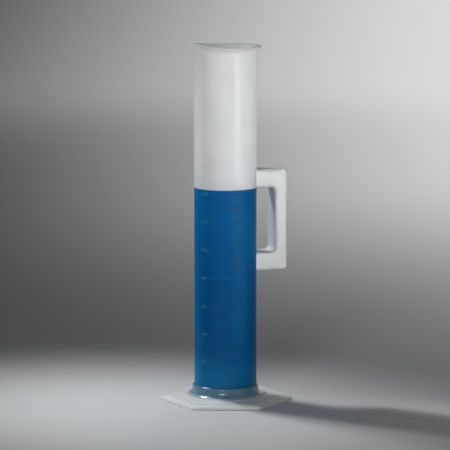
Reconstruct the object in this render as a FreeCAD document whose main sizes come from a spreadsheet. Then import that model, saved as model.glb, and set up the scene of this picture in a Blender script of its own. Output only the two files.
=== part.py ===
"""Tall graduated measuring cylinder for two litres, with a plug-in hexagonal foot and a box handle.

Frame: millimetres, +Z up the bore. The origin is the centre of the foot's underside, +X runs to the
handle and -X to the pouring spout. The scale faces the reader, who stands at -Y and a little to -X.
"""

import FreeCAD, Part
import math
import os

import Sketcher

doc = FreeCAD.newDocument("graduated_cylinder")

# ---------------------------------------------------------------------------------------------
# Driving dimensions (mm, mL and degrees)
# ---------------------------------------------------------------------------------------------

DIMENSIONS = [
    ("bore_radius", 40.5, "inside of the tube; with the scale it sets what a division holds"),
    ("wall", 2.5, "tube wall and floor"),
    ("floor_height", 19.5, "inside floor of the tube, the zero of the scale"),
    ("skirt_height", 4.0, "lower end of the tube, below its floor"),
    ("floor_rounding", 4.0, "inside corner between floor and wall"),
    ("lip_height", 491.0, "top of the rim"),
    ("lip_radius", 49.9, "outside of the flared lip"),
    ("flare_height", 10.0, "height over which the lip flares"),
    ("spout_start", 466.0, "where the spout leaves the wall"),
    ("spout_reach", 54.8, "tip of the spout from the axis"),
    ("spout_rise", 8.0, "tip of the spout above the rim"),
    ("spout_nose", 6.0, "outside radius of the spout's beak"),
    ("spout_sweep_start", 10.0, "where the rim begins to rise, from the axis"),
    ("lug_width", 18.0, "lug on the tube that the handle's arm is welded over"),
    ("lug_height", 14.0, "height of that lug"),
    ("lug_reach", 51.0, "outer end of the lug from the axis"),
    ("socket_play", 0.1, "gap around the lug in the arm, and around the tube in the foot"),
    ("handle_bottom", 181.0, "underside of the lower arm"),
    ("handle_length", 140.0, "overall height of the handle"),
    ("handle_reach", 84.0, "outside of the grip from the axis"),
    ("handle_width", 37.0, "width of the handle across its arms"),
    ("arm_height", 25.5, "height of each arm"),
    ("grip_depth", 18.0, "thickness of the grip along the radius"),
    ("handle_corner", 4.0, "outer corners of the handle"),
    ("opening_corner", 6.0, "corners of the finger opening"),
    ("handle_edge", 4.5, "rounding along the handle's edges"),
    ("foot_corner_reach", 92.7, "corner of the hexagon from the axis, before rounding"),
    ("foot_corner_rounding", 10.0, "rounding of the hexagon's corners"),
    ("foot_edge", 4.9, "height of the hexagon's edge"),
    ("edge_rounding", 1.2, "rounding along the top of that edge"),
    ("border_width", 6.3, "flat border inside the edge"),
    ("border_step", 1.2, "step up from the border"),
    ("ring_radius", 57.0, "outside of the low ring around the collar's cove"),
    ("ring_foot", 7.9, "height of the sloping top where it meets that ring"),
    ("ring_step", 0.8, "height of that ring above the slope"),
    ("collar_radius", 45.6, "outside of the collar that holds the tube"),
    ("collar_height", 23.0, "top of the collar"),
    ("collar_rounding", 1.4, "rounding of the collar's top edge"),
    ("cove_radius", 9.0, "hollow curve from the foot's top up to the collar"),
    ("foot_skin", 2.5, "thickness of the foot's hollow top"),
    ("foot_rim", 3.5, "thickness of the rim that the foot stands on"),
    ("hub_radius", 48.5, "outside of the foot's hub on the underside"),
    ("hub_opening", 34.0, "opening through the middle of the hub"),
    ("line_relief", 0.35, "how far a scale line stands out"),
    ("line_width", 0.9, "height of a scale line at the wall"),
    ("line_top", 0.4, "height of a scale line at its crest"),
    ("division_ml", 20.0, "volume between neighbouring lines"),
    ("scale_end", -65.0, "azimuth where every line ends"),
    ("major_sweep", 72.0, "angle that a 200 mL line spans"),
    ("medium_sweep", 41.0, "angle that a 100 mL line spans"),
    ("minor_sweep", 31.0, "angle that a 20 mL line spans"),
    ("numeral_azimuth", -149.4, "middle of the numbers"),
    ("numeral_height", 4.2, "height of the numbers"),
    ("numeral_relief", 0.4, "how far the numbers stand out"),
    ("numeral_depth", 0.3, "how deep a digit's blank starts under the surface, before it is cut"),
    ("foot_turn", -17.0, "turn of the plugged-in foot about the tube"),
    ("root_depth", 1.5, "how deep a lug or the beak is rooted in the wall"),
    ("overcut", 1.0, "how far a cut runs past the surface that it opens"),
    ("clear_reach", 20.0, "how far the cut that shapes the rim reaches past the lip"),
    ("blank_top", 4.0, "how far the tube's blank rises past the spout's tip, before the rim is cut"),
    ("handle_root", 28.5, "where the handle's block starts from the axis, before the saddle is cut"),
    ("hairline", 0.05, "how far the beak's foot lies under the wall's surface"),
]
CAPACITY_ML = 2000
MAJOR_ML = 200
MEDIUM_ML = 100
LOWEST_FINE_ML = 100  # the 20 mL lines begin above this volume

sheet = doc.addObject("Spreadsheet::Sheet", "Sizes")
for row, (alias, amount, meaning) in enumerate(DIMENSIONS, start=1):
    sheet.set(f"A{row}", meaning)
    sheet.set(f"B{row}", str(amount))
    sheet.setAlias(f"B{row}", alias)
doc.recompute()

TUBE_RADIUS = "(Sizes.bore_radius + Sizes.wall)"
DIVISION = f"(1000 * Sizes.division_ml / ({math.pi} * Sizes.bore_radius * Sizes.bore_radius))"
ABOVE_RIM = "(Sizes.lip_height + Sizes.spout_rise + Sizes.blank_top)"
ABOVE_ALL = f"({ABOVE_RIM} + Sizes.overcut)"
FLARE_START = "(Sizes.lip_height - Sizes.flare_height)"
FLARE = f"(Sizes.lip_radius - {TUBE_RADIUS})"
FLARE_ARC = f"(({FLARE} ^ 2 + Sizes.flare_height ^ 2) / (2 * {FLARE}))"
TIP_HEIGHT = "(Sizes.lip_height + Sizes.spout_rise)"
LOWER_ARM = "(Sizes.handle_bottom + Sizes.arm_height / 2)"
UPPER_ARM = "(Sizes.handle_bottom + Sizes.handle_length - Sizes.arm_height / 2)"


def number(expression):
    """The value that an expression of sheet cells has now."""
    return float(sheet.evalExpression(expression))


# ---------------------------------------------------------------------------------------------
# Sketch helpers: every corner and radius of a sketch is bound to the sheet
# ---------------------------------------------------------------------------------------------


def new_body(label):
    body = doc.addObject("PartDesign::Body", label)
    body.Label = label
    return body


def new_sketch(body, name, role, offset=None):
    """A sketch on one of the body's origin planes, moved along the plane's normal by an expression."""
    sketch = body.newObject("Sketcher::SketchObject", name)
    plane = next(f for f in body.Origin.OriginFeatures if f.Role == role)
    sketch.AttachmentSupport = (plane, [""])
    sketch.MapMode = "FlatFace"
    if offset:
        sketch.setExpression("AttachmentOffset.Base.z", offset)
    doc.recompute()
    return sketch


def bind(sketch, kind, *where, to):
    """Adds a dimension to a sketch and binds it to an expression."""
    index = sketch.addConstraint(Sketcher.Constraint(kind, *where, number(to)))
    sketch.setExpression(f"Constraints[{index}]", to)


def pin_point(sketch, edge, end, x, y):
    """Holds one end of an edge at (x, y), two expressions measured from the sketch's origin."""
    for kind, place, axis in (("DistanceX", x, -2), ("DistanceY", y, -1)):
        if place == "0":
            sketch.addConstraint(Sketcher.Constraint("PointOnObject", edge, end, axis))
        else:
            bind(sketch, kind, -1, 1, edge, end, to=place)


SAME_POINT = 1e-4


def outline(sketch, corners):
    """A closed outline. A corner is (x, y), or (x, y, radius, side) where an arc leads to the next one,
    bulging to the left of the way there (side 1) or to the right (side -1)."""
    points = [FreeCAD.Vector(number(c[0]), number(c[1]), 0) for c in corners]
    first = sketch.GeometryCount
    for i, corner in enumerate(corners):
        here, there = points[i], points[(i + 1) % len(points)]
        if len(corner) == 2:
            sketch.addGeometry(Part.LineSegment(here, there), False)
            continue
        radius, side = number(corner[2]), corner[3]
        half = (there - here) * 0.5
        left = FreeCAD.Vector(-half.y, half.x, 0).normalize()
        sag = radius - math.sqrt(max(radius * radius - half.Length**2, 0.0))
        crown = here + half + left * (side * sag)
        sketch.addGeometry(Part.Arc(here, crown, there), False)
    starts = []
    for i, corner in enumerate(corners):
        edge = first + i
        start = points[i]
        starts.append(1 if sketch.getPoint(edge, 1).isEqual(start, SAME_POINT) else 2)
    for i, corner in enumerate(corners):
        edge, after = first + i, first + (i + 1) % len(corners)
        end = 3 - starts[i]
        sketch.addConstraint(
            Sketcher.Constraint("Coincident", edge, end, after, starts[(i + 1) % len(corners)])
        )
        pin_point(sketch, edge, starts[i], corner[0], corner[1])
        if len(corner) == 4:
            bind(sketch, "Radius", edge, to=corner[2])


def circle(sketch, radius):
    sketch.addGeometry(Part.Circle(FreeCAD.Vector(0, 0, 0), FreeCAD.Vector(0, 0, 1), number(radius)), False)
    edge = sketch.GeometryCount - 1
    sketch.addConstraint(Sketcher.Constraint("Coincident", edge, 3, -1, 1))
    bind(sketch, "Radius", edge, to=radius)


def rectangle(sketch, left, bottom, right, top):
    outline(sketch, [(left, bottom), (right, bottom), (right, top), (left, top)])


def teardrop(sketch, round_radius, nose_radius, reach):
    """A circle about the origin drawn out to a rounded beak towards -X: two arcs and their tangents."""
    big, nose = number(round_radius), number(nose_radius)
    away = number(reach) - nose
    lean = math.acos((big - nose) / away)
    on_big = FreeCAD.Vector(-big * math.cos(lean), big * math.sin(lean), 0)
    on_nose = FreeCAD.Vector(-away - nose * math.cos(lean), nose * math.sin(lean), 0)

    def below(point):
        return FreeCAD.Vector(point.x, -point.y, 0)

    sketch.addGeometry(Part.Arc(below(on_big), FreeCAD.Vector(big, 0, 0), on_big), False)
    sketch.addGeometry(Part.LineSegment(on_big, on_nose), False)
    sketch.addGeometry(Part.Arc(on_nose, FreeCAD.Vector(-away - nose, 0, 0), below(on_nose)), False)
    sketch.addGeometry(Part.LineSegment(below(on_nose), below(on_big)), False)
    sketch.addConstraint(Sketcher.Constraint("Tangent", 0, 2, 1, 1))
    sketch.addConstraint(Sketcher.Constraint("Tangent", 1, 2, 2, 1))
    sketch.addConstraint(Sketcher.Constraint("Tangent", 2, 2, 3, 1))
    sketch.addConstraint(Sketcher.Constraint("Tangent", 3, 2, 0, 1))
    sketch.addConstraint(Sketcher.Constraint("Coincident", 0, 3, -1, 1))
    sketch.addConstraint(Sketcher.Constraint("PointOnObject", 2, 3, -1))
    bind(sketch, "Radius", 0, to=round_radius)
    bind(sketch, "Radius", 2, to=nose_radius)
    bind(sketch, "DistanceX", 2, 3, -1, 1, to=f"{reach} - {nose_radius}")


# ---------------------------------------------------------------------------------------------
# Feature helpers
# ---------------------------------------------------------------------------------------------


SMALLEST_CHANGE = 1e-6


def check_step(feature, before, grows):
    """Stops when a feature failed, or changed the solid's volume the wrong way."""
    doc.recompute()
    volume = feature.Shape.Volume
    if "Invalid" in feature.State or "Error" in feature.State:
        raise RuntimeError(f"{feature.Name} failed")
    change = volume - before if grows else before - volume
    if change <= SMALLEST_CHANGE:
        raise RuntimeError(f"{feature.Name} took the solid from {before:.1f} to {volume:.1f} mm3")
    return feature


def volume_of(body):
    tip = body.Tip
    if tip is None or not hasattr(tip, "Shape") or tip.Shape.isNull():
        return 0.0
    return tip.Shape.Volume if tip.Shape.Solids else 0.0


def turned(body, sketch, name, kind, angle="360"):
    """A Revolution or Groove of a sketch about the body's upright axis."""
    before = volume_of(body)
    feature = body.newObject(f"PartDesign::{kind}", name)
    feature.Profile = sketch
    feature.ReferenceAxis = (sketch, ["V_Axis"])
    if angle == "360":
        feature.Angle = 360.0
    else:
        feature.setExpression("Angle", angle)
        feature.Reversed = True
    return check_step(feature, before, kind == "Revolution")


def pad(body, sketch, name, length, midplane=False):
    before = volume_of(body)
    feature = body.newObject("PartDesign::Pad", name)
    feature.Profile = sketch
    feature.setExpression("Length", length)
    feature.Midplane = midplane
    return check_step(feature, before, True)


def pocket(body, sketch, name, length=None, midplane=False, flip=False):
    """A pocket of a bound length, or right through when no length is given."""
    before = volume_of(body)
    feature = body.newObject("PartDesign::Pocket", name)
    feature.Profile = sketch
    feature.Midplane = midplane
    feature.Reversed = flip
    if length:
        feature.setExpression("Length", length)
    else:
        feature.Type = "ThroughAll"
    return check_step(feature, before, False)


def loft(body, name, kind, profile, section):
    before = volume_of(body)
    feature = body.newObject(f"PartDesign::{kind}", name)
    feature.Profile = profile
    feature.Sections = [section]
    feature.Ruled = True
    return check_step(feature, before, kind == "AdditiveLoft")


def rounded(body, base, name, radius, chosen):
    """Rounds the edges of a feature that a test picks."""
    edges = [f"Edge{i}" for i, e in enumerate(base.Shape.Edges, start=1) if chosen(e)]
    if not edges:
        raise RuntimeError(f"{name} found no edges")
    feature = body.newObject("PartDesign::Fillet", name)
    feature.Base = (base, edges)
    feature.setExpression("Radius", radius)
    doc.recompute()
    if feature.Shape.isNull() or "Invalid" in feature.State:
        raise RuntimeError(f"{name} failed")
    return feature


TOUCHING = 1e-3
SHORTEST_UPRIGHT = 0.5


def is_upright(edge):
    box = edge.BoundBox
    return box.ZLength > SHORTEST_UPRIGHT and box.XLength < TOUCHING and box.YLength < TOUCHING


# ---------------------------------------------------------------------------------------------
# Tube: bore, floor, skirt, flared lip, spout and the two lugs for the handle
# ---------------------------------------------------------------------------------------------


def make_tube():
    body = new_body("tube")
    outside = new_sketch(body, "tube_outside", "XZ_Plane")
    outline(
        outside,
        [
            ("0", "Sizes.skirt_height"),
            (TUBE_RADIUS, "Sizes.skirt_height"),
            (TUBE_RADIUS, FLARE_START, FLARE_ARC, 1),
            ("Sizes.lip_radius", "Sizes.lip_height"),
            ("Sizes.lip_radius", ABOVE_RIM),
            ("0", ABOVE_RIM),
        ],
    )
    turned(body, outside, "outer_wall", "Revolution")

    # The beak starts inside the wall and opens straight out to the tip, which a later cut shapes.
    slope = f"((Sizes.spout_reach - {TUBE_RADIUS}) / ({TIP_HEIGHT} - Sizes.spout_start))"
    top_reach = f"(Sizes.spout_reach + {slope} * ({ABOVE_ALL} - {TIP_HEIGHT}))"
    beak_root = f"({TUBE_RADIUS} - Sizes.root_depth)"
    low = new_sketch(body, "beak_low", "XY_Plane", "Sizes.spout_start")
    teardrop(low, beak_root, "Sizes.spout_nose", f"({TUBE_RADIUS} - Sizes.hairline)")
    high = new_sketch(body, "beak_high", "XY_Plane", ABOVE_ALL)
    teardrop(high, beak_root, "Sizes.spout_nose", top_reach)
    loft(body, "beak", "AdditiveLoft", low, high)

    # Bore and the inside of the flare, which shares its centre with the outside.
    inner_arc = f"({FLARE_ARC} + Sizes.wall)"
    mouth = f"(Sizes.bore_radius + {inner_arc} - sqrt({inner_arc} ^ 2 - Sizes.flare_height ^ 2))"
    inside = new_sketch(body, "tube_inside", "XZ_Plane")
    outline(
        inside,
        [
            ("0", "Sizes.floor_height"),
            ("(Sizes.bore_radius - Sizes.floor_rounding)", "Sizes.floor_height", "Sizes.floor_rounding", -1),
            ("Sizes.bore_radius", "(Sizes.floor_height + Sizes.floor_rounding)"),
            ("Sizes.bore_radius", FLARE_START, inner_arc, 1),
            (mouth, "Sizes.lip_height"),
            (mouth, f"({ABOVE_ALL} + Sizes.overcut)"),
            ("0", f"({ABOVE_ALL} + Sizes.overcut)"),
        ],
    )
    turned(body, inside, "bore", "Groove")

    inner_nose = "(Sizes.spout_nose - Sizes.wall)"
    channel_root = "(Sizes.bore_radius - Sizes.overcut)"
    low = new_sketch(body, "channel_low", "XY_Plane", "Sizes.spout_start")
    teardrop(low, channel_root, inner_nose, "(Sizes.bore_radius - Sizes.hairline)")
    high = new_sketch(body, "channel_high", "XY_Plane", ABOVE_ALL)
    teardrop(high, channel_root, inner_nose, f"({top_reach} - Sizes.wall)")
    loft(body, "channel", "SubtractiveLoft", low, high)

    # The rim is level round the handle's side and sweeps up to the tip of the spout. Its edges are plain.
    sweep = "(Sizes.spout_reach - Sizes.spout_sweep_start)"
    sweep_arc = f"(({sweep} ^ 2 + Sizes.spout_rise ^ 2) / (2 * Sizes.spout_rise))"
    beyond = "(Sizes.lip_radius + Sizes.clear_reach)"
    above = f"({ABOVE_ALL} + Sizes.clear_reach)"
    side = new_sketch(body, "rim_side", "XZ_Plane")
    outline(
        side,
        [
            (beyond, "Sizes.lip_height"),
            (beyond, above),
            (f"-{beyond}", above),
            (f"-{beyond}", TIP_HEIGHT),
            ("-Sizes.spout_reach", TIP_HEIGHT, sweep_arc, -1),
            ("-Sizes.spout_sweep_start", "Sizes.lip_height"),
        ],
    )
    pocket(body, side, "rim", midplane=True)

    recess = new_sketch(body, "under_floor", "XZ_Plane")
    under_floor = "(Sizes.floor_height - Sizes.wall)"
    rectangle(recess, "0", "(Sizes.skirt_height - Sizes.overcut)", "Sizes.bore_radius", under_floor)
    turned(body, recess, "skirt", "Groove")

    for name, arm in (("lower_lug", LOWER_ARM), ("upper_lug", UPPER_ARM)):
        face = new_sketch(body, name + "_face", "YZ_Plane", f"({TUBE_RADIUS} - Sizes.root_depth)")
        rectangle(
            face,
            "-Sizes.lug_width / 2",
            f"({arm} - Sizes.lug_height / 2)",
            "Sizes.lug_width / 2",
            f"({arm} + Sizes.lug_height / 2)",
        )
        pad(body, face, name, f"(Sizes.lug_reach - {TUBE_RADIUS} + Sizes.root_depth)")
    return body


# ---------------------------------------------------------------------------------------------
# Handle: a rounded box frame with a saddle and two sockets where it meets the tube
# ---------------------------------------------------------------------------------------------


def make_handle():
    body = new_body("handle")
    top = "(Sizes.handle_bottom + Sizes.handle_length)"
    reach = "Sizes.handle_reach"
    corner = "Sizes.handle_corner"
    root = "Sizes.handle_root"
    frame = new_sketch(body, "handle_side", "XZ_Plane")
    outline(
        frame,
        [
            (root, "Sizes.handle_bottom"),
            (f"({reach} - {corner})", "Sizes.handle_bottom", corner, -1),
            (reach, f"(Sizes.handle_bottom + {corner})"),
            (reach, f"({top} - {corner})", corner, -1),
            (f"({reach} - {corner})", top),
            (root, top),
        ],
    )
    pad(body, frame, "handle_block", "Sizes.handle_width", midplane=True)

    low = "(Sizes.handle_bottom + Sizes.arm_height)"
    high = f"({top} - Sizes.arm_height)"
    inner = "(Sizes.handle_reach - Sizes.grip_depth)"
    bend = "Sizes.opening_corner"
    gap = new_sketch(body, "handle_gap", "XZ_Plane")
    outline(
        gap,
        [
            (f"({root} - Sizes.overcut)", low),
            (f"({inner} - {bend})", low, bend, -1),
            (inner, f"({low} + {bend})"),
            (inner, f"({high} - {bend})", bend, -1),
            (f"({inner} - {bend})", high),
            (f"({root} - Sizes.overcut)", high),
        ],
    )
    opened = pocket(body, gap, "finger_opening", midplane=True)

    half = number("Sizes.handle_width / 2")

    def is_long_edge(edge):
        box = edge.BoundBox
        on_a_side = box.YLength < TOUCHING and abs(abs(box.YMin) - half) < TOUCHING
        return on_a_side and box.XMax > number(root) + TOUCHING

    rounded(body, opened, "handle_edges", "Sizes.handle_edge", is_long_edge)

    saddle = new_sketch(body, "saddle", "XZ_Plane")
    rectangle(saddle, "0", "(Sizes.handle_bottom - Sizes.overcut)", TUBE_RADIUS, f"({top} + Sizes.overcut)")
    turned(body, saddle, "saddle_cut", "Groove")

    play = "Sizes.socket_play"
    for name, arm in (("lower_socket", LOWER_ARM), ("upper_socket", UPPER_ARM)):
        face = new_sketch(body, name + "_face", "YZ_Plane")
        rectangle(
            face,
            f"-(Sizes.lug_width / 2 + {play})",
            f"({arm} - Sizes.lug_height / 2 - {play})",
            f"(Sizes.lug_width / 2 + {play})",
            f"({arm} + Sizes.lug_height / 2 + {play})",
        )
        pocket(body, face, name, f"(Sizes.lug_reach + {play})", flip=True)
    return body


# ---------------------------------------------------------------------------------------------
# Foot: a hollow hexagonal moulding with a collar that the tube plugs into
# ---------------------------------------------------------------------------------------------

SIXTY_DEGREE_STEPS = [(1, 0), (0.5, 1), (-0.5, 1), (-1, 0), (-0.5, -1), (0.5, -1)]
HALF_SQRT3 = "(sqrt(3) / 2)"


def hexagon(sketch, corner_reach):
    """A regular hexagon with two of its corners on the sketch's X axis."""
    corners = []
    for across, up in SIXTY_DEGREE_STEPS:
        y = "0" if up == 0 else f"({up} * {HALF_SQRT3} * {corner_reach})"
        corners.append((f"({across} * {corner_reach})", y))
    outline(sketch, corners)


def make_foot():
    body = new_body("foot")
    inset = f"(Sizes.foot_corner_reach - Sizes.border_width / {HALF_SQRT3})"
    rim_inset = f"(Sizes.foot_corner_reach - Sizes.foot_rim / {HALF_SQRT3})"

    border = new_sketch(body, "border_outline", "XY_Plane")
    hexagon(border, "Sizes.foot_corner_reach")
    plate = pad(body, border, "border", "Sizes.foot_edge")
    softened = rounded(body, plate, "border_corners", "Sizes.foot_corner_rounding", is_upright)

    def is_top_edge(edge):
        return edge.BoundBox.ZMin > number("Sizes.foot_edge") - TOUCHING

    rounded(body, softened, "edge_rounding", "Sizes.edge_rounding", is_top_edge)

    raised = new_sketch(body, "raised_outline", "XY_Plane")
    hexagon(raised, inset)
    step = pad(body, raised, "raised_field", "(Sizes.foot_edge + Sizes.border_step)")

    def is_raised_corner(edge):
        return is_upright(edge) and is_top_edge(edge)

    inner_rounding = "(Sizes.foot_corner_rounding - Sizes.border_width / 2)"
    rounded(body, step, "raised_corners", inner_rounding, is_raised_corner)

    # Sloping top, low ring, cove and collar, all round about the axis.
    ring_top = "(Sizes.ring_foot + Sizes.ring_step)"
    round_top = new_sketch(body, "collar_profile", "XZ_Plane")
    collar = "Sizes.collar_radius"
    bead = "Sizes.collar_rounding"
    cove = "Sizes.cove_radius"
    outline(
        round_top,
        [
            ("0", "(Sizes.foot_edge - Sizes.overcut)"),
            (f"({inset} * {HALF_SQRT3})", "(Sizes.foot_edge - Sizes.overcut)"),
            (f"({inset} * {HALF_SQRT3})", "(Sizes.foot_edge + Sizes.border_step)"),
            ("Sizes.ring_radius", "Sizes.ring_foot"),
            ("Sizes.ring_radius", ring_top),
            (f"({collar} + {cove})", ring_top, cove, -1),
            (collar, f"({ring_top} + {cove})"),
            (collar, f"(Sizes.collar_height - {bead})", bead, -1),
            (f"({collar} - {bead})", "Sizes.collar_height"),
            ("0", "Sizes.collar_height"),
        ],
    )
    turned(body, round_top, "collar", "Revolution")

    socket = new_sketch(body, "socket_profile", "XZ_Plane")
    outline(
        socket,
        [
            ("0", "-Sizes.overcut"),
            ("Sizes.hub_opening", "-Sizes.overcut"),
            ("Sizes.hub_opening", "Sizes.skirt_height"),
            (f"({TUBE_RADIUS} + Sizes.socket_play / 2)", "Sizes.skirt_height"),
            (f"({TUBE_RADIUS} + Sizes.socket_play / 2)", "(Sizes.collar_height + Sizes.overcut)"),
            ("0", "(Sizes.collar_height + Sizes.overcut)"),
        ],
    )
    turned(body, socket, "socket", "Groove")

    # The underside is hollow between the hub and the rim that it stands on.
    under = new_sketch(body, "hollow_outline", "XY_Plane")
    hexagon(under, rim_inset)
    circle(under, "Sizes.hub_radius")
    pocket(body, under, "hollow", "(Sizes.foot_edge - Sizes.foot_skin)", flip=True)
    deep_reach = f"({inset} * {HALF_SQRT3} - Sizes.overcut)"
    deeper = new_sketch(body, "hollow_profile", "XZ_Plane")
    outline(
        deeper,
        [
            ("Sizes.hub_radius", "-Sizes.overcut"),
            (deep_reach, "-Sizes.overcut"),
            (deep_reach, "(Sizes.foot_edge + Sizes.border_step - Sizes.foot_skin)"),
            ("Sizes.ring_radius", "(Sizes.ring_foot - Sizes.foot_skin)"),
            ("Sizes.hub_radius", "(Sizes.ring_foot - Sizes.foot_skin)"),
        ],
    )
    turned(body, deeper, "hollow_deep", "Groove")
    body.setExpression("Placement.Rotation.Angle", "Sizes.foot_turn")
    return body


# ---------------------------------------------------------------------------------------------
# Raised scale: three lengths of line and the numbers
# ---------------------------------------------------------------------------------------------


def make_lines(label, first_ml, heights, sweep, every_ml, last_ml):
    """Raised lines at the given divisions above first_ml, repeated up the tube every every_ml."""
    body = new_body(label)
    crest = f"({TUBE_RADIUS} + Sizes.line_relief)"
    profile = new_sketch(body, label + "_profile", "XZ_Plane")
    for steps in heights:
        middle = f"(Sizes.floor_height + {DIVISION} * ({first_ml} / Sizes.division_ml + {steps}))"
        outline(
            profile,
            [
                (TUBE_RADIUS, f"({middle} - Sizes.line_width / 2)"),
                (crest, f"({middle} - Sizes.line_top / 2)"),
                (crest, f"({middle} + Sizes.line_top / 2)"),
                (TUBE_RADIUS, f"({middle} + Sizes.line_width / 2)"),
            ],
        )
    lines = turned(body, profile, label + "_turned", "Revolution", sweep)
    repeats = (last_ml - first_ml) // every_ml + 1
    pattern = body.newObject("PartDesign::LinearPattern", label + "_pattern")
    pattern.Originals = [lines]
    pattern.Direction = (profile, ["V_Axis"])
    pattern.setExpression("Length", f"{DIVISION} * {every_ml} / Sizes.division_ml * {repeats - 1}")
    pattern.Occurrences = repeats
    body.Tip = pattern
    doc.recompute()
    if len(pattern.Shape.Solids) != repeats * len(heights):
        raise RuntimeError(f"{label} has {len(pattern.Shape.Solids)} lines")
    body.setExpression("Placement.Rotation.Angle", "Sizes.scale_end")
    return body


def bar(start, end, width):
    """A straight stroke with round ends, as a face in the XY plane."""
    along = (end - start).normalize()
    side = FreeCAD.Vector(-along.y, along.x, 0) * (width / 2)
    tip = along * (width / 2)
    edges = [
        Part.LineSegment(start + side, end + side).toShape(),
        Part.Arc(end + side, end + tip, end - side).toShape(),
        Part.LineSegment(end - side, start - side).toShape(),
        Part.Arc(start - side, start - tip, start + side).toShape(),
    ]
    return Part.Face(Part.Wire(edges))


def hoop(centre, radius, width):
    """A ring-shaped stroke."""
    up = FreeCAD.Vector(0, 0, 1)
    outer = Part.Wire(Part.Circle(centre, up, radius + width / 2).toShape())
    inner = Part.Wire(Part.Circle(centre, up, radius - width / 2).toShape())
    return Part.Face(outer).cut(Part.Face(inner))


def bow(centre, radius, start, sweep, width):
    """A curved stroke with round ends, from an angle in degrees through a sweep."""

    def at(distance, angle):
        turn = math.radians(angle)
        return centre + FreeCAD.Vector(distance * math.cos(turn), distance * math.sin(turn), 0)

    far, near, end = radius + width / 2, radius - width / 2, start + sweep
    cap = math.degrees(width / 2 / radius) * (1 if sweep > 0 else -1)
    edges = [
        Part.Arc(at(far, start), at(far, start + sweep / 2), at(far, end)).toShape(),
        Part.Arc(at(far, end), at(radius, end + cap), at(near, end)).toShape(),
        Part.Arc(at(near, end), at(near, start + sweep / 2), at(near, start)).toShape(),
        Part.Arc(at(near, start), at(radius, start - cap), at(far, start)).toShape(),
    ]
    return Part.Face(Part.Wire(edges))


STROKE_SHARE = 0.16  # width of a digit's stroke, in heights
SPACING_SHARE = 0.78  # from one digit to the next, in heights


def digit_strokes(digit, height):
    """The strokes of a plain digit that stands on y = 0, centred on x = 0, in shares of its height."""
    width = height * STROKE_SHARE
    reach = height / 2 - width / 2
    loop = height / 4 - width / 4

    def spot(x, y):
        return FreeCAD.Vector(x, y, 0)

    low, high = spot(0, width / 2 + loop), spot(0, height - width / 2 - loop)
    if digit == "0":
        return [
            bow(high, loop, 0, 180, width),
            bow(low, loop, 180, 180, width),
            bar(spot(-loop, low.y), spot(-loop, high.y), width),
            bar(spot(loop, low.y), spot(loop, high.y), width),
        ]
    if digit == "1":
        stem = 0.1 * height
        top = spot(stem, height - width / 2)
        return [
            bar(spot(stem, width / 2), top, width),
            bar(top, spot(-0.15 * height, height * 0.75), width),
        ]
    if digit == "2":
        return [
            bow(high, loop, 160, -200, width),
            bar(high + spot(loop * 0.77, -loop * 0.64), spot(-loop, width / 2), width),
            bar(spot(-loop, width / 2), spot(loop, width / 2), width),
        ]
    if digit == "4":
        stem, bar_end, bar_height = 0.12 * height, 0.66 * reach, 0.32 * height
        top = spot(stem, height - width / 2)
        return [
            bar(spot(stem, width / 2), top, width),
            bar(top, spot(-bar_end, bar_height), width),
            bar(spot(-bar_end, bar_height), spot(bar_end, bar_height), width),
        ]
    if digit == "6":
        return [
            hoop(low, loop, width),
            bow(spot(loop * 1.6, low.y), loop * 2.6, 180, -75, width),
        ]
    if digit == "8":
        return [hoop(low, loop, width), hoop(high, loop, width)]
    raise ValueError(digit)


def make_numerals():
    """The numbers of the 200 mL lines, each digit standing out from the tube on its own radius."""
    radius = number(TUBE_RADIUS)
    height = number("Sizes.numeral_height")
    relief = number("Sizes.numeral_relief")
    spacing = height * SPACING_SHARE
    depth = number("Sizes.numeral_depth")
    wall = Part.makeCylinder(radius, number("Sizes.lip_height"))
    axes = [FreeCAD.Vector(0, 1, 0), FreeCAD.Vector(0, 0, 1), FreeCAD.Vector(1, 0, 0)]
    upright = FreeCAD.Rotation(*axes, "XYZ")
    blanks = {}
    for digit in "012468":
        rise = FreeCAD.Vector(0, 0, depth + relief)
        strokes = [face.extrude(rise) for face in digit_strokes(digit, height)]
        blanks[digit] = strokes[0].multiFuse(strokes[1:]).removeSplitter()
    solids = []
    for volume in range(MAJOR_ML, CAPACITY_ML + 1, MAJOR_ML):
        base = number(f"Sizes.floor_height + {DIVISION} * {volume} / Sizes.division_ml") - height / 2
        text = str(volume)
        for place, digit in enumerate(text):
            along = (place - (len(text) - 1) / 2) * spacing
            azimuth = number("Sizes.numeral_azimuth") + math.degrees(along / radius)
            turn = FreeCAD.Rotation(FreeCAD.Vector(0, 0, 1), azimuth)
            shape = blanks[digit].copy()
            shape.Placement = FreeCAD.Placement(
                turn.multVec(FreeCAD.Vector(radius - depth, 0, base)), turn.multiply(upright)
            )
            solids.extend(shape.cut(wall).Solids)
    feature = doc.addObject("Part::Feature", "scale_numerals")
    feature.Label = "scale_numerals"
    feature.Shape = Part.makeCompound(solids)
    return feature


# ---------------------------------------------------------------------------------------------
# The assembly, its checks and its files
# ---------------------------------------------------------------------------------------------

parts = [
    make_tube(),
    make_handle(),
    make_foot(),
    make_lines("scale_lines_200", MAJOR_ML, [0], "Sizes.major_sweep", MAJOR_ML, CAPACITY_ML),
    make_lines("scale_lines_100", MEDIUM_ML, [0], "Sizes.medium_sweep", MAJOR_ML, CAPACITY_ML - MEDIUM_ML),
    make_lines(
        "scale_lines_20",
        LOWEST_FINE_ML,
        [1, 2, 3, 4],
        "Sizes.minor_sweep",
        MEDIUM_ML,
        CAPACITY_ML - MEDIUM_ML,
    ),
    make_numerals(),
]
doc.recompute()

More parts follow.
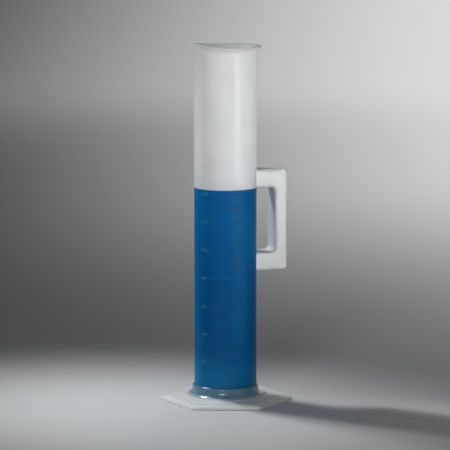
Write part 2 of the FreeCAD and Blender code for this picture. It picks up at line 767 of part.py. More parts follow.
for item in doc.Objects:
    if "Invalid" in item.State or "Error" in item.State:
        raise RuntimeError(f"{item.Name} is {item.State}")
os.makedirs("parts", exist_ok=True)
for piece in parts:
    if piece.Shape.isNull() or not piece.Shape.isValid() or not piece.Shape.Solids:
        raise RuntimeError(f"{piece.Label} has no valid shape")
    piece.Shape.exportStep(f"parts/{piece.Label}.step")
    box = piece.Shape.optimalBoundingBox(False)
    print(
        f"{piece.Label}: {len(piece.Shape.Solids)} solids, {piece.Shape.Volume / 1000:.1f} cm3, "
        f"x {box.XMin:.1f}..{box.XMax:.1f}, y {box.YMin:.1f}..{box.YMax:.1f}, "
        f"z {box.ZMin:.1f}..{box.ZMax:.1f}"
    )
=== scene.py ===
import math

import bpy
import numpy as np
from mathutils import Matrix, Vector


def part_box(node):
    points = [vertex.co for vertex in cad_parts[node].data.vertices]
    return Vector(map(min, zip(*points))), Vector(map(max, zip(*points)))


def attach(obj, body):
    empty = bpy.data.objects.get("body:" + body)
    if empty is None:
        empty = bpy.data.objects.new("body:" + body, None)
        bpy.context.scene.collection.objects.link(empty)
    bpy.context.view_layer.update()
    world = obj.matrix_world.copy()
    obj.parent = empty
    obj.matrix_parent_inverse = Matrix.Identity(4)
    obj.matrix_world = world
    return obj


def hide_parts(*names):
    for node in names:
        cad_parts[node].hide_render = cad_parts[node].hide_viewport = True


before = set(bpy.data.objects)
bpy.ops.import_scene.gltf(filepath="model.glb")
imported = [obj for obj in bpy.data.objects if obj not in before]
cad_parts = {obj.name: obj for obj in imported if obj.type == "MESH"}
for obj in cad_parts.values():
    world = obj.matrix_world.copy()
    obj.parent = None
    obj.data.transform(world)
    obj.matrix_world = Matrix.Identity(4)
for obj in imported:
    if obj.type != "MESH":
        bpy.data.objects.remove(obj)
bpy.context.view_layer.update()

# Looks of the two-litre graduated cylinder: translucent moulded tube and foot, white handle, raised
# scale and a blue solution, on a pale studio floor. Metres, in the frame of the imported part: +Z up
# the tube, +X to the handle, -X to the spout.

# ---------------------------------------------------------------------------------------------
# Sizes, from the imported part's boxes where it has them
# ---------------------------------------------------------------------------------------------

TUBE_LOW, TUBE_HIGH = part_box("tube")
_, FOOT_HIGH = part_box("foot")
LINES_LOW, LINES_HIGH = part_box("scale_lines_200")
HANDLE_LOW, HANDLE_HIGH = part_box("handle")

LINE_RELIEF = 0.00035
LINE_THICKNESS = 0.0009
WALL = 0.0025
TUBE_RADIUS = -LINES_LOW.y - LINE_RELIEF
BORE_RADIUS = TUBE_RADIUS - WALL
MIDDLE_RADIUS = TUBE_RADIUS - WALL / 2
SKIRT_HEIGHT = TUBE_LOW.z
FLOOR_HEIGHT = 0.0195
FLOOR_ROUNDING = 0.004
HALF_SQRT3 = math.sqrt(3) / 2

# Heights at which a long plain wall has a ring of points.
WALL_BANDS = (0.1, 0.2, 0.3, 0.4)

LOWEST_NUMBERED_ML, HIGHEST_NUMBERED_ML = 200.0, 2000.0
FILLED_ML = 1426.0
LOWEST_LINE = LINES_LOW.z + LINE_THICKNESS / 2
HIGHEST_LINE = LINES_HIGH.z - LINE_THICKNESS / 2
PER_ML = (HIGHEST_LINE - LOWEST_LINE) / (HIGHEST_NUMBERED_ML - LOWEST_NUMBERED_ML)
LIQUID_HEIGHT = LOWEST_LINE + PER_ML * (FILLED_ML - LOWEST_NUMBERED_ML)

# ---------------------------------------------------------------------------------------------
# Mesh helpers
# ---------------------------------------------------------------------------------------------


def full_turn(count):
    """Azimuths of a number of points evenly round the upright axis."""
    return np.linspace(0, 2 * math.pi, count + 1)[:-1]


def around(radius, height, azimuths):
    """One ring of points: radius and height may be numbers or one value for each azimuth."""
    radius = np.broadcast_to(radius, azimuths.shape)
    height = np.broadcast_to(height, azimuths.shape)
    return np.stack([radius * np.cos(azimuths), radius * np.sin(azimuths), height], axis=1)


def softened(corners, azimuths, steps=4):
    """Rings along a section whose corners (radius, height, rounding) are rounded by short curves."""
    points = [around(radius, height, azimuths) for radius, height, _ in corners]
    rings = []
    for i, (_, _, rounding) in enumerate(corners):
        here = points[i]
        if rounding == 0 or i == 0 or i == len(corners) - 1:
            rings.append(here)
            continue
        before, after = points[i - 1] - here, points[i + 1] - here
        start = here + before * (rounding / np.linalg.norm(before, axis=1))[:, None]
        end = here + after * (rounding / np.linalg.norm(after, axis=1))[:, None]
        for t in np.linspace(0, 1, steps + 1):
            rings.append((1 - t) ** 2 * start + 2 * t * (1 - t) * here + t**2 * end)
    return rings


def mesh_from_rings(name, rings, joined=False, ends="open"):
    """A mesh through rings of equal length. joined ties the last ring to the first. The ends are open,
    flat, or drawn to poles on the upright axis."""
    count = len(rings[0])
    vertices = np.concatenate(rings)
    faces = []
    last = len(rings) if joined else len(rings) - 1
    for i in range(last):
        here, above = i * count, (i + 1) % len(rings) * count
        for j in range(count):
            k = (j + 1) % count
            faces.append((here + j, here + k, above + k, above + j))
    top = (len(rings) - 1) * count
    if ends == "flat":
        faces.append(tuple(range(count))[::-1])
        faces.append(tuple(range(top, top + count)))
    if ends == "poles":
        low, high = len(vertices), len(vertices) + 1
        poles = [(0, 0, rings[0][0][2]), (0, 0, rings[-1][0][2])]
        vertices = np.concatenate([vertices, np.array(poles)])
        for j in range(count):
            k = (j + 1) % count
            faces.append((low, k, j))
            faces.append((high, top + j, top + k))
    mesh = bpy.data.meshes.new(name)
    mesh.from_pydata(vertices.tolist(), [], faces)
    mesh.shade_smooth()
    mesh.validate()
    piece = bpy.data.objects.new(name, mesh)
    bpy.context.scene.collection.objects.link(piece)
    return piece


# ---------------------------------------------------------------------------------------------
# Tube: wall, flared lip and spout
# ---------------------------------------------------------------------------------------------

TIP_HEIGHT = TUBE_HIGH.z
SPOUT_RISE = 0.008
LIP_HEIGHT = TIP_HEIGHT - SPOUT_RISE
LIP_MIDDLE = TUBE_HIGH.y - WALL / 2
FLARE_HEIGHT = 0.010
SPOUT_START = 0.466
SPOUT_REACH = -TUBE_LOW.x
SPOUT_NOSE = 0.006
SWEEP_START = 0.010

# The beak is drawn a little inside the wall, so that only the spout itself stands out of it.
BEAK_INSET, BEAK_TUCK = 0.0015, 0.004
BLEND = 0.0016

# Points round the tube, and the share by which they are closer together at the front of the spout.
TUBE_POINTS, CROWDING = 288, 0.75
SPOUT_LEAD = 0.012
STRAIGHT_RINGS, FLARE_RINGS, EDGE_RINGS = 22, 15, 9
RIM_ROUNDS = 3
UNDER_ROUNDING, SKIRT_ROUNDING = 0.001, 0.0004


def soft_max(a, b, width):
    """The larger of two values, with the corner between them rounded over a width."""
    near = np.clip(1 - np.abs(a - b) / width, 0, 1)
    return np.maximum(a, b) + near**2 * width / 4


def beak_reach(height):
    """How far out the middle of the wall is at the front of the spout, at a height."""
    slope = (SPOUT_REACH - TUBE_RADIUS) / (TIP_HEIGHT - SPOUT_START)
    return SPOUT_REACH - WALL / 2 - slope * (TIP_HEIGHT - WALL / 2 - height)


def beak_radius(from_spout, reach):
    """Middle of the wall along the beak: a round about the axis drawn out to a small nose."""
    nose = SPOUT_NOSE - WALL / 2
    barrel = MIDDLE_RADIUS - BEAK_INSET
    away = reach - nose
    lean = np.arccos(np.clip((barrel - nose) / away, -1, 1))
    nose_edge = np.arctan2(nose * np.sin(lean), away + nose * np.cos(lean))
    on_flank = barrel / np.cos(np.minimum(from_spout, lean) - lean)
    inside = np.clip(nose**2 - (away * np.sin(from_spout)) ** 2, 0, None)
    on_nose = away * np.cos(from_spout) + np.sqrt(inside)
    return np.where(from_spout < nose_edge, on_nose, on_flank)


def swept_height(toward_spout):
    """Height of the rim at a distance from the axis towards the spout: level, then sweeping up."""
    run = SPOUT_REACH - SWEEP_START
    bend = (run**2 + SPOUT_RISE**2) / (2 * SPOUT_RISE)
    past = np.clip(toward_spout - SWEEP_START, 0, run)
    return LIP_HEIGHT + bend - np.sqrt(bend**2 - past**2)


def rim_heights(from_spout):
    """Height of the rim at each azimuth. The rim rises as it runs out along the spout, and runs out
    further as it rises, so a few rounds settle both."""
    radius = LIP_MIDDLE
    for _ in range(RIM_ROUNDS):
        top = swept_height(radius * np.cos(from_spout))
        radius = soft_max(LIP_MIDDLE, beak_radius(from_spout, beak_reach(top)), BLEND)
    return top


def wall_middle(from_spout):
    """Middle of the wall from below the spout up to the end of the lip, as (radius, height) rows with
    a value for each azimuth."""
    top = rim_heights(from_spout)
    rise, run = FLARE_HEIGHT - WALL / 2, LIP_MIDDLE - MIDDLE_RADIUS
    turn = 2 * math.atan(run / rise)
    bend = rise / math.sin(turn)
    start, flare_start = SPOUT_START - SPOUT_LEAD, top - FLARE_HEIGHT
    rows = []
    for share in np.linspace(0, 1, STRAIGHT_RINGS):
        rows.append((MIDDLE_RADIUS, start + share * (flare_start - start)))
    for angle in np.linspace(0, turn, FLARE_RINGS)[1:]:
        radius = MIDDLE_RADIUS + bend * (1 - math.cos(angle))
        rows.append((radius, flare_start + bend * math.sin(angle)))
    middle = []
    for radius, height in rows:
        reach = np.maximum(beak_reach(height), MIDDLE_RADIUS - BEAK_TUCK)
        middle.append((soft_max(radius, beak_radius(from_spout, reach), BLEND), height))
    return middle


def wall_rings(middle, azimuths):
    """Rings up the outside of the wall, round the edge of the lip and down the inside."""
    outer, inner = [], []
    for i, (radius, height) in enumerate(middle):
        before, after = middle[max(i - 1, 0)], middle[min(i + 1, len(middle) - 1)]
        along_r, along_z = after[0] - before[0], after[1] - before[1]
        length = np.hypot(along_r, along_z)
        along_r, along_z = along_r / length, along_z / length
        outer.append(around(radius + along_z * WALL / 2, height - along_r * WALL / 2, azimuths))
        inner.append(around(radius - along_z * WALL / 2, height + along_r * WALL / 2, azimuths))
    edge = []
    for angle in np.linspace(0, math.pi, EDGE_RINGS)[1:-1]:
        out, on = math.cos(angle) * WALL / 2, math.sin(angle) * WALL / 2
        edge_radius = radius + along_z * out + along_r * on
        edge_height = height - along_r * out + along_z * on
        edge.append(around(edge_radius, edge_height, azimuths))
    return outer + edge + inner[::-1]


def make_tube(material):
    steps = np.linspace(-math.pi, math.pi, TUBE_POINTS + 1)[:-1]
    round_from_spout = steps - CROWDING * np.sin(steps)
    azimuths = math.pi + round_from_spout
    wall = wall_rings(wall_middle(np.abs(round_from_spout)), azimuths)
    under = FLOOR_HEIGHT - WALL
    bottom = softened(
        [
            (BORE_RADIUS * 0.5, under, 0),
            (BORE_RADIUS, under, UNDER_ROUNDING),
            (BORE_RADIUS, SKIRT_HEIGHT, SKIRT_ROUNDING),
            (TUBE_RADIUS, SKIRT_HEIGHT, SKIRT_ROUNDING),
            *[(TUBE_RADIUS, height, 0) for height in WALL_BANDS],
        ],
        azimuths,
    )
    floor = softened(
        [
            *[(BORE_RADIUS, height, 0) for height in reversed(WALL_BANDS)],
            (BORE_RADIUS, FLOOR_HEIGHT, FLOOR_ROUNDING),
            (BORE_RADIUS * 0.5, FLOOR_HEIGHT, 0),
        ],
        azimuths,
        steps=6,
    )
    tube = mesh_from_rings("tube_moulding", bottom + wall + floor, ends="poles")
    tube.data.materials.append(material)
    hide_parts("tube")
    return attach(tube, "root")


LUG_WIDTH, LUG_HEIGHT, LUG_ROUNDING = 0.018, 0.014, 0.0008
LUG_SUNK = 0.0002
LUG_ROOT, LUG_REACH = TUBE_RADIUS - LUG_SUNK, TUBE_HIGH.x
LUG_POINTS = 24
ARM_HEIGHT = 0.0255


def make_lug(name, middle, material):
    """One of the two lugs on the tube that the handle's arms are pushed over."""
    half_width, half_height = LUG_WIDTH / 2 - LUG_ROUNDING, LUG_HEIGHT / 2 - LUG_ROUNDING
    rings = []
    for reach, shrink in ((LUG_ROOT, 0), (LUG_REACH - LUG_ROUNDING, 0), (LUG_REACH, LUG_ROUNDING / 2)):
        ring = []
        for angle in full_turn(LUG_POINTS) + math.pi / LUG_POINTS:
            side, up = math.cos(angle), math.sin(angle)
            rounding = LUG_ROUNDING - shrink
            y = math.copysign(half_width, side) + rounding * side
            z = middle + math.copysign(half_height, up) + rounding * up
            ring.append((reach, y, z))
        rings.append(np.array(ring))
    lug = mesh_from_rings(name, rings, ends="flat")
    lug.data.materials.append(material)
    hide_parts("tube")
    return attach(lug, "root")


# ---------------------------------------------------------------------------------------------
# Foot: a hexagonal moulding, hollow underneath
# ---------------------------------------------------------------------------------------------

FOOT_TURN = math.radians(-17.0)
FOOT_CORNER = 0.0927
FOOT_CORNER_ROUNDING = 0.010
FOOT_EDGE = 0.0049
BORDER_WIDTH = 0.0063
BORDER_STEP = 0.0012
FIELD_INSET, HOLLOW_INSET = 0.0006, 0.002
RING_RADIUS, RING_FOOT, RING_STEP = 0.057, 0.0079, 0.0008
COLLAR_RADIUS, COLLAR_HEIGHT = 0.0456, FOOT_HIGH.z
COVE_RADIUS = 0.009
FOOT_SKIN, FOOT_RIM = 0.0025, 0.0035
HUB_RADIUS, HUB_OPENING = 0.0485, 0.034
SOCKET_PLAY = 0.0001
FOOT_POINTS = 360


def hexagon_radius(azimuths, corner_reach, rounding):
    """Distance from the axis to a hexagon with rounded corners, at each azimuth."""
    apothem = corner_reach * HALF_SQRT3
    off_corner = np.abs((azimuths - FOOT_TURN + math.pi / 6) % (math.pi / 3) - math.pi / 6)
    centre = (apothem - rounding) / HALF_SQRT3
    edge = math.atan2(rounding / 2, centre + rounding * HALF_SQRT3)
    inside = np.clip(rounding**2 - (centre * np.sin(off_corner)) ** 2, 0, None)
    on_corner = centre * np.cos(off_corner) + np.sqrt(inside)
    on_side = apothem / np.cos(math.pi / 6 - off_corner)
    return np.where(off_corner < edge, on_corner, on_side)


def make_foot(material):
    """The section runs up the socket, down the outside, and back under the hollow to the hub."""
    azimuths = full_turn(FOOT_POINTS) + FOOT_TURN
    inset = FOOT_CORNER - BORDER_WIDTH / HALF_SQRT3
    outline = hexagon_radius(azimuths, FOOT_CORNER, FOOT_CORNER_ROUNDING)
    raised = hexagon_radius(azimuths, inset, FOOT_CORNER_ROUNDING - BORDER_WIDTH / 2)
    rim = hexagon_radius(azimuths, FOOT_CORNER - FOOT_RIM / HALF_SQRT3, FOOT_CORNER_ROUNDING - FOOT_RIM)
    field = inset * HALF_SQRT3 - FIELD_INSET
    field_height = FOOT_EDGE + BORDER_STEP
    ring_top = RING_FOOT + RING_STEP
    socket = TUBE_RADIUS + SOCKET_PLAY / 2
    # The roundings at the two ends of an edge together stay shorter than the edge, or two rings would
    # fall in one place and leave faces without area.
    corners = [
        (socket, SKIRT_HEIGHT, 0),
        (socket, COLLAR_HEIGHT, 0.0002),
        (COLLAR_RADIUS, COLLAR_HEIGHT, 0.0032),
        (COLLAR_RADIUS, ring_top, COVE_RADIUS),
        (RING_RADIUS, ring_top, 0.0005),
        (RING_RADIUS, RING_FOOT, 0.0002),
        (field, field_height, 0.0004),
        (raised, field_height, 0.0005),
        (raised, FOOT_EDGE, 0.0005),
        (outline, FOOT_EDGE, 0.0012),
        (outline, 0.0, 0.0005),
        (rim, 0.0, 0.0005),
        (rim, FOOT_EDGE - FOOT_SKIN, 0.0005),
        (field - HOLLOW_INSET, FOOT_EDGE - FOOT_SKIN, 0.0004),
        (RING_RADIUS, RING_FOOT - FOOT_SKIN, 0.0004),
        (HUB_RADIUS, RING_FOOT - FOOT_SKIN, 0.0008),
        (HUB_RADIUS, 0.0, 0.0005),
        (HUB_OPENING, 0.0, 0.0005),
        (HUB_OPENING, SKIRT_HEIGHT, 0.0004),
        (socket, SKIRT_HEIGHT, 0),
    ]
    rings = softened(corners, azimuths, steps=5)
    foot = mesh_from_rings("foot_moulding", rings[:-1], joined=True)
    foot.data.flip_normals()
    foot.data.materials.append(material)
    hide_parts("foot")
    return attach(foot, "root")


# ---------------------------------------------------------------------------------------------
# The blue solution
# ---------------------------------------------------------------------------------------------

FILM = 0.0004
MENISCUS_RISE, MENISCUS_REACH, MENISCUS_DEPTH = 0.0011, 0.0035, 0.002
MENISCUS_RINGS = 10
SOLUTION_POINTS = 256


def make_solution(material):
    """A real wall bends light, so that the solution looks as wide as the tube. The wall here passes
    light straight through, so the solution reaches into it, to a film's thickness from the outside."""
    azimuths = full_turn(SOLUTION_POINTS)
    wall = TUBE_RADIUS - FILM
    rings = softened(
        [
            (wall * 0.5, FLOOR_HEIGHT + FILM, 0),
            (wall, FLOOR_HEIGHT + FILM, FLOOR_ROUNDING),
            *[(wall, height, 0) for height in WALL_BANDS if height < LIQUID_HEIGHT],
            (wall, LIQUID_HEIGHT - MENISCUS_DEPTH, 0),
        ],
        azimuths,
        steps=6,
    )
    for share in np.linspace(0, 1, MENISCUS_RINGS):
        inward = MENISCUS_REACH * share
        lift = MENISCUS_RISE * (1 - share) ** 3
        rings.append(around(wall - inward, LIQUID_HEIGHT + lift, azimuths))
    rings.append(around(wall * 0.5, LIQUID_HEIGHT, azimuths))
    solution = mesh_from_rings("solution", rings, ends="poles")
    solution.data.materials.append(material)
    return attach(solution, "root")


# ---------------------------------------------------------------------------------------------
# Materials
# ---------------------------------------------------------------------------------------------

# Nearly all of a noise texture's values lie between these.
NOISE_LOW, NOISE_HIGH = 0.3, 0.7

# Scales of the noise textures: larger is finer.
TUBE_CLOUD, FOOT_CLOUD, HANDLE_CLOUD, SWIRL = 22.0, 30.0, 30.0, 14.0
MILKY_GRAIN, HANDLE_GRAIN, MARK_GRAIN, PAPER_GRAIN = 900.0, 1100.0, 1200.0, 300.0


class Nodes:
    """A material's node tree, with short calls to add and join nodes."""

    def __init__(self, name):
        self.material = bpy.data.materials.new(name)
        self.material.use_nodes = True
        self.tree = self.material.node_tree
        self.tree.nodes.clear()
        self.output = self.add("ShaderNodeOutputMaterial")
        self.place = self.add("ShaderNodeTexCoord").outputs["Object"]

    def link(self, source, target):
        self.tree.links.new(source, target)

    def fill(self, socket, value):
        """Gives a socket a plain value, or joins another socket to it."""
        if isinstance(value, bpy.types.NodeSocket):
            self.link(value, socket)
        else:
            socket.default_value = value

    def add(self, kind, **inputs):
        node = self.tree.nodes.new(kind)
        for name, value in inputs.items():
            self.fill(node.inputs[name.replace("_", " ")], value)
        return node

    def height(self):
        return self.add("ShaderNodeSeparateXYZ", Vector=self.place).outputs["Z"]

    def from_axis(self):
        """Distance from the upright axis."""
        place = self.add("ShaderNodeSeparateXYZ", Vector=self.place)
        flat = self.add("ShaderNodeCombineXYZ", X=place.outputs["X"], Y=place.outputs["Y"])
        length = self.tree.nodes.new("ShaderNodeVectorMath")
        length.operation = "LENGTH"
        self.link(flat.outputs["Vector"], length.inputs[0])
        return length.outputs["Value"]

    def noise(self, scale, detail):
        node = self.add("ShaderNodeTexNoise", Vector=self.place, Scale=scale, Detail=detail, Roughness=0.5)
        return node.outputs["Fac"]

    def ranged(self, value, low, high, to_low, to_high, smooth=False):
        node = self.add(
            "ShaderNodeMapRange", Value=value, From_Min=low, From_Max=high, To_Min=to_low, To_Max=to_high
        )
        if smooth:
            node.interpolation_type = "SMOOTHSTEP"
        return node.outputs["Result"]

    def varied(self, noise, low, high):
        """A noise texture brought to a range of values."""
        return self.ranged(noise, NOISE_LOW, NOISE_HIGH, low, high)

    def ramp(self, value, stops):
        """A colour ramp of (position, colour) stops."""
        node = self.add("ShaderNodeValToRGB", Fac=value)
        node.color_ramp.interpolation = "EASE"
        elements = node.color_ramp.elements
        while len(elements) < len(stops):
            elements.new(1.0)
        for element, (position, colour) in zip(elements, stops):
            element.position = position
            element.color = (*colour, 1)
        return node.outputs["Color"]

    def mottled(self, noise, dark, light):
        """A noise texture brought to a range of colours."""
        return self.ramp(noise, [(NOISE_LOW, dark), (NOISE_HIGH, light)])

    def combined(self, operation, first, second):
        node = self.tree.nodes.new("ShaderNodeMath")
        node.operation = operation
        self.link(first, node.inputs[0])
        self.link(second, node.inputs[1])
        return node.outputs["Value"]

    def blend(self, share, low, high):
        """low where share is 0 and high where it is 1: numbers or colours, or sockets of either."""
        node = self.tree.nodes.new("ShaderNodeMix")
        is_colour = isinstance(high, tuple) or getattr(high, "type", "VALUE") == "RGBA"
        node.data_type = "RGBA" if is_colour else "FLOAT"
        factor, *_, from_low, to_high = [socket for socket in node.inputs if socket.enabled]
        self.link(share, factor)
        for socket, value in ((from_low, low), (to_high, high)):
            self.fill(socket, (*value, 1.0) if isinstance(value, tuple) else value)
        return next(socket for socket in node.outputs if socket.enabled)

    def bump(self, height, strength, distance):
        node = self.add("ShaderNodeBump", Height=height, Strength=strength, Distance=distance)
        return node.outputs["Normal"]

    def principled(self, **inputs):
        shader = self.add("ShaderNodeBsdfPrincipled", **inputs)
        self.link(shader.outputs["BSDF"], self.output.inputs["Surface"])
        return shader


PLASTIC_IOR = 1.49
GRAIN_DEPTH = 0.0004
MILKY_SATIN = 0.02
MILKY_UNEVENNESS = (0.85, 1.15)


def milky_plastic(nodes, colour, opacity, roughness, scatter, gloss):
    """Natural translucent plastic. Light scatters in it, over about the scatter distance. Its surface has
    a satin grain. Its opacity is the share that hides what is behind."""
    grain = nodes.noise(MILKY_GRAIN, 2.0)
    nodes.principled(
        Base_Color=colour,
        Alpha=opacity,
        Roughness=nodes.combined("MULTIPLY", nodes.varied(grain, *MILKY_UNEVENNESS), roughness),
        Normal=nodes.bump(grain, MILKY_SATIN, GRAIN_DEPTH),
        IOR=PLASTIC_IOR,
        Specular_IOR_Level=gloss,
        Subsurface_Weight=1.0,
        Subsurface_Radius=(scatter, scatter, scatter),
        Subsurface_Scale=1.0,
    )
    return nodes.material


# Heights between which the wall turns from wet to dry at the solution's surface, and from dry to wet
# just over the tube's floor.
SURFACE_SPAN = (LIQUID_HEIGHT - 0.0004, LIQUID_HEIGHT + 0.0012)
BASE_SPAN = (FLOOR_HEIGHT + 0.0006, FLOOR_HEIGHT + 0.0016)


def dry_share(nodes):
    """0 beside the solution and 1 above its surface and below the tube's floor."""
    height = nodes.height()
    above = nodes.ranged(height, *SURFACE_SPAN, 0.0, 1.0, smooth=True)
    below = nodes.ranged(height, *BASE_SPAN, 1.0, 0.0, smooth=True)
    return nodes.combined("MAXIMUM", above, below)


NEAR_FOOT, CLEAR_OF_FOOT = FLOOR_HEIGHT + 0.015, FLOOR_HEIGHT + 0.06
WET_OPACITY, WET_OPACITY_NEAR_FOOT = 0.40, 0.80
DRY_OPACITY = (0.58, 0.62)
WET_ROUGHNESS, DRY_ROUGHNESS = 0.5, 0.3


def tube_plastic():
    """Beside the solution the wall has the solution's blue painted into its colour: a painted glow that
    stands in for the blue light seen through the wall. Near the foot this painted blue is a little lighter
    and hides more. Elsewhere it is a milky white."""
    nodes = Nodes("tube_plastic")
    cloud = nodes.noise(TUBE_CLOUD, 3.0)
    white = nodes.mottled(cloud, (0.90, 0.93, 0.91), (0.93, 0.96, 0.94))
    near_foot = nodes.ranged(nodes.height(), NEAR_FOOT, CLEAR_OF_FOOT, 1.0, 0.0, smooth=True)
    # Painted light: the solution's blue as a glow in the wall's colour, a little lighter and more covering
    # near the foot.
    blue = nodes.blend(near_foot, (0.0, 0.185, 0.45), (0.0, 0.20, 0.46))
    wet_opacity = nodes.blend(near_foot, WET_OPACITY, WET_OPACITY_NEAR_FOOT)
    dry = dry_share(nodes)
    colour = nodes.blend(dry, blue, white)
    opacity = nodes.blend(dry, wet_opacity, nodes.varied(cloud, *DRY_OPACITY))
    roughness = nodes.blend(dry, WET_ROUGHNESS, DRY_ROUGHNESS)
    return milky_plastic(nodes, colour, opacity, roughness, scatter=0.005, gloss=0.22)


# Radii over which the painted blue light and shade in the foot's colour fades out.
PAINTED_BLUE_START, PAINTED_BLUE_END = COLLAR_RADIUS - 0.002, COLLAR_RADIUS + 0.012
FOOT_OPACITY, FOOT_ROUGHNESS = (0.74, 0.80), (0.14, 0.16)


def foot_plastic():
    """Painted blue light and shade: a dark blue is painted into the collar's colour round the solution,
    standing in for the solution's light seen in the plastic, and fades out through the cove.
    """
    nodes = Nodes("foot_plastic")
    cloud = nodes.noise(FOOT_CLOUD, 3.0)
    # Painted light and shade: dark blue at the collar, fading to the plastic's own pale colour past the
    # cove.
    colour = nodes.ramp(
        nodes.ranged(nodes.from_axis(), PAINTED_BLUE_START, PAINTED_BLUE_END, 0.0, 1.0),
        [
            (0.00, (0.05, 0.22, 0.35)),
            (0.25, (0.20, 0.38, 0.48)),
            (0.60, (0.62, 0.72, 0.75)),
            (1.00, (0.95, 0.97, 0.93)),
        ],
    )
    opacity = nodes.varied(cloud, *FOOT_OPACITY)
    roughness = nodes.varied(cloud, *FOOT_ROUGHNESS)
    return milky_plastic(nodes, colour, opacity, roughness, scatter=0.003, gloss=0.6)


HANDLE_ROUGHNESS, HANDLE_SATIN = (0.38, 0.48), 0.15


def white_plastic(name):
    """The handle's opaque white."""
    nodes = Nodes(name)
    cloud = nodes.noise(HANDLE_CLOUD, 3.0)
    grain = nodes.noise(HANDLE_GRAIN, 2.0)
    nodes.principled(
        Base_Color=nodes.mottled(cloud, (0.67, 0.68, 0.67), (0.71, 0.72, 0.71)),
        Roughness=nodes.varied(grain, *HANDLE_ROUGHNESS),
        Normal=nodes.bump(grain, HANDLE_SATIN, GRAIN_DEPTH),
        IOR=PLASTIC_IOR,
    )
    return nodes.material


MARK_OPACITY, DRY_MARK_OPACITY = 0.42, 0.02
MARK_SATIN, MARK_GRAIN_DEPTH = 0.1, 0.0003


def scale_plastic(name, painted_blue_light):
    """Raised marks in the tube's own plastic. Against the solution they get a lighter blue painted into
    their colour, standing in for the solution's light scattered in the thicker plastic, and they nearly
    vanish above it."""
    nodes = Nodes(name)
    grain = nodes.noise(MARK_GRAIN, 2.0)
    dry = dry_share(nodes)
    clear = nodes.mottled(grain, (0.86, 0.89, 0.88), (0.90, 0.93, 0.91))
    nodes.principled(
        # Painted light: beside the solution the marks take the painted blue, above it their own milky
        # white.
        Base_Color=nodes.blend(dry, painted_blue_light, clear),
        Alpha=nodes.blend(dry, MARK_OPACITY, DRY_MARK_OPACITY),
        Roughness=0.4,
        Normal=nodes.bump(grain, MARK_SATIN, MARK_GRAIN_DEPTH),
        IOR=PLASTIC_IOR,
        Specular_IOR_Level=0.05,
    )
    return nodes.material


SOLUTION_IOR = 1.12
SOLUTION_DENSITY = 170.0


def blue_solution():
    """Clear blue that darkens with depth. Shadow rays meet a grey tint instead, so that lamps shine
    through and the shadow is grey."""
    nodes = Nodes("blue_solution")
    shader = nodes.principled(
        Base_Color=nodes.mottled(nodes.noise(SWIRL, 2.0), (0.0, 0.52, 0.84), (0.0, 0.57, 0.88)),
        Roughness=0.28,
        IOR=SOLUTION_IOR,
        Transmission_Weight=1.0,
        Specular_IOR_Level=0.3,
    )
    passed = nodes.add("ShaderNodeBsdfTransparent", Color=(0.36, 0.41, 0.44, 1.0))
    shadow_ray = nodes.add("ShaderNodeLightPath").outputs["Is Shadow Ray"]
    for_lamps = nodes.add("ShaderNodeMixShader", Fac=shadow_ray)
    nodes.link(shader.outputs["BSDF"], for_lamps.inputs[1])
    nodes.link(passed.outputs["BSDF"], for_lamps.inputs[2])
    nodes.link(for_lamps.outputs["Shader"], nodes.output.inputs["Surface"])
    absorption = nodes.add(
        "ShaderNodeVolumeAbsorption", Density=SOLUTION_DENSITY, Color=(0.0, 0.94, 0.98, 1.0)
    )
    nodes.link(absorption.outputs["Volume"], nodes.output.inputs["Volume"])
    return nodes.material


def studio_paper():
    nodes = Nodes("studio_paper")
    tone = nodes.mottled(nodes.noise(PAPER_GRAIN, 2.0), (0.54, 0.54, 0.54), (0.57, 0.57, 0.57))
    nodes.principled(Base_Color=tone, Roughness=0.85)
    return nodes.material


# ---------------------------------------------------------------------------------------------
# Studio: floor that sweeps up all round, lights and camera
# ---------------------------------------------------------------------------------------------

VIEW_AZIMUTH = math.radians(-17.0)
AWAY = Vector((-math.sin(VIEW_AZIMUTH), math.cos(VIEW_AZIMUTH), 0))
RIGHT = Vector((math.cos(VIEW_AZIMUTH), math.sin(VIEW_AZIMUTH), 0))
UP = Vector((0, 0, 1))

FLOOR_RADII = (0.02, 0.3, 0.6, 1.2, 2.4, 4.8)
STUDIO_SWEEP, STUDIO_WALL = 1.8, 3.5
STUDIO_POINTS, SWEEP_RINGS = 128, 13


def make_studio():
    azimuths = full_turn(STUDIO_POINTS)
    rings = [around(radius, 0.0, azimuths) for radius in FLOOR_RADII]
    flat = FLOOR_RADII[-1]
    for angle in np.linspace(0, math.pi / 2, SWEEP_RINGS)[1:]:
        radius = flat + STUDIO_SWEEP * math.sin(angle)
        rings.append(around(radius, STUDIO_SWEEP * (1 - math.cos(angle)), azimuths))
    rings.append(around(flat + STUDIO_SWEEP, STUDIO_WALL, azimuths))
    floor = mesh_from_rings("studio_floor", rings)
    floor.data.materials.append(studio_paper())


def studio_place(right, toward, up):
    """A place in the studio, by how far right of, in front of and above the object's foot it is."""
    return RIGHT * right - AWAY * toward + UP * up


def aim(data, place, target):
    """Puts a lamp at a place, pointing at a target."""
    lamp = bpy.data.objects.new(data.name, data)
    lamp.location = place
    lamp.rotation_mode = "QUATERNION"
    lamp.rotation_quaternion = (Vector(target) - Vector(place)).to_track_quat("-Z", "Y")
    lamp.visible_camera = False
    bpy.context.scene.collection.objects.link(lamp)


def soft_box(name, place, target, width, height, power, colour=(1, 1, 1), spread=180):
    """A box lamp. A grid in front of it narrows the light to a spread, in degrees."""
    data = bpy.data.lights.new(name, "AREA")
    data.shape = "RECTANGLE"
    data.size, data.size_y = width, height
    data.spread = math.radians(spread)
    data.energy = power
    data.color = colour
    aim(data, place, target)


def soft_spot(name, place, target, cone, radius, power, colour=(1, 1, 1)):
    """A lamp whose pool of light fades out towards the edge of its cone, given in degrees."""
    data = bpy.data.lights.new(name, "SPOT")
    data.spot_size = math.radians(cone)
    data.spot_blend = 1.0
    data.shadow_soft_size = radius
    data.energy = power
    data.color = colour
    aim(data, place, target)


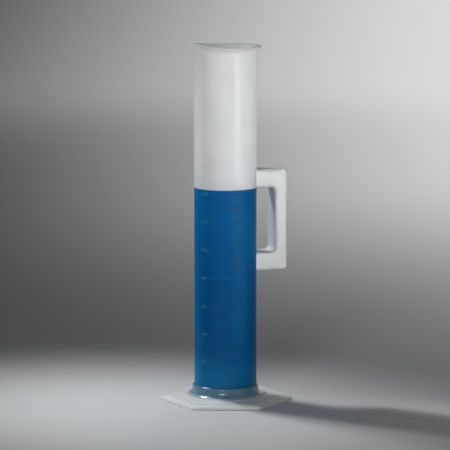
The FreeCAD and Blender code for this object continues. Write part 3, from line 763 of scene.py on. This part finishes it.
def light_object():
    """The key stands behind at the left, and a second beam beside it lights the handle. The window gives
    the streak down the dry tube."""
    key = studio_place(right=-0.75, toward=-0.55, up=1.25)
    beside_foot = studio_place(right=-0.11, toward=0.11, up=0)
    soft_spot("key", key, beside_foot, cone=32, radius=0.18, power=92, colour=(0.95, 0.98, 1.0))
    handle = studio_place(right=0.075, toward=0, up=0.265)
    soft_spot("grip", key, handle, cone=7, radius=0.1, power=62)
    window = studio_place(right=1.08, toward=1.04, up=0.32)
    cool = (0.97, 0.98, 1.0)
    soft_box("window", window, (0, 0, 0.40), width=0.16, height=0.4, power=0.33, colour=cool, spread=24)
    fill = studio_place(right=-1.3, toward=0.9, up=0.75)
    soft_spot("fill", fill, (0, 0, 0.45), cone=22, radius=0.25, power=34)
    front = studio_place(right=-0.6, toward=3.0, up=0.85)
    middle = (0, 0, (TUBE_LOW.z + TUBE_HIGH.z) / 2)
    soft_box("front", front, middle, width=0.9, height=0.9, power=26)


def light_backdrop():
    """Pools of light on the paper behind: bright at the top right, and darker down to the left."""
    far = studio_place(right=0.6, toward=-4.95, up=3.2)
    far_pool = studio_place(right=1.7, toward=-4.85, up=0.9)
    soft_spot("far", far, far_pool, cone=118, radius=0.2, power=490)
    near = studio_place(right=0.65, toward=-2.25, up=2.4)
    near_pool = studio_place(right=2.0, toward=-2.15, up=0.3)
    soft_spot("near", near, near_pool, cone=131, radius=0.2, power=240)
    left = studio_place(right=-2.4, toward=-2.6, up=2.2)
    left_pool = studio_place(right=-3.6, toward=-3.6, up=0)
    soft_spot("left", left, left_pool, cone=100, radius=0.2, power=150)


def make_air():
    """A little light from all round."""
    world = bpy.data.worlds.new("studio_air")
    bpy.context.scene.world = world
    world.use_nodes = True
    background = world.node_tree.nodes["Background"]
    background.inputs["Color"].default_value = (0.85, 0.88, 0.92, 1)
    background.inputs["Strength"].default_value = 0.03


CAMERA_DISTANCE, CAMERA_HEIGHT = 4.0566, 0.8059
CAMERA_PITCH = math.radians(7.89)
CAMERA_LENS, CAMERA_SENSOR = 238.05, 36.0
CAMERA_SHIFT = -0.0009
CAMERA_SIGHT = 50


def make_camera():
    data = bpy.data.cameras.new("camera")
    data.lens = CAMERA_LENS
    data.sensor_width = CAMERA_SENSOR
    data.shift_x = CAMERA_SHIFT
    data.clip_end = CAMERA_SIGHT
    camera = bpy.data.objects.new("camera", data)
    camera.location = studio_place(0, CAMERA_DISTANCE, CAMERA_HEIGHT)
    forward = AWAY * math.cos(CAMERA_PITCH) - UP * math.sin(CAMERA_PITCH)
    camera.rotation_mode = "QUATERNION"
    camera.rotation_quaternion = forward.to_track_quat("-Z", "Y")
    bpy.context.scene.collection.objects.link(camera)
    bpy.context.scene.camera = camera


# ---------------------------------------------------------------------------------------------
# The scene
# ---------------------------------------------------------------------------------------------


def dress_nodes():
    """Gives the handle and the scale, shown as their CAD meshes, their materials."""
    # The blues given to the scale's marks are painted light: the solution's light scattered in the raised
    # plastic.
    line_material = scale_plastic("line_plastic", (0.0, 0.25, 0.56))
    node_materials = {
        "handle": white_plastic("handle_plastic"),
        "scale_lines_200": line_material,
        "scale_lines_100": line_material,
        "scale_lines_20": scale_plastic("fine_line_plastic", (0.0, 0.38, 0.76)),
        "scale_numerals": scale_plastic("numeral_plastic", (0.04, 0.41, 0.76)),
    }
    for node, material in node_materials.items():
        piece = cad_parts[node]
        piece.data.materials.clear()
        piece.data.materials.append(material)


make_camera()
make_studio()
light_object()
light_backdrop()
make_air()
bpy.context.scene.view_settings.view_transform = "Standard"

wall_material = tube_plastic()
make_tube(wall_material)
make_lug("lower_lug", HANDLE_LOW.z + ARM_HEIGHT / 2, wall_material)
make_lug("upper_lug", HANDLE_HIGH.z - ARM_HEIGHT / 2, wall_material)
make_foot(foot_plastic())
make_solution(blue_solution())
dress_nodes()
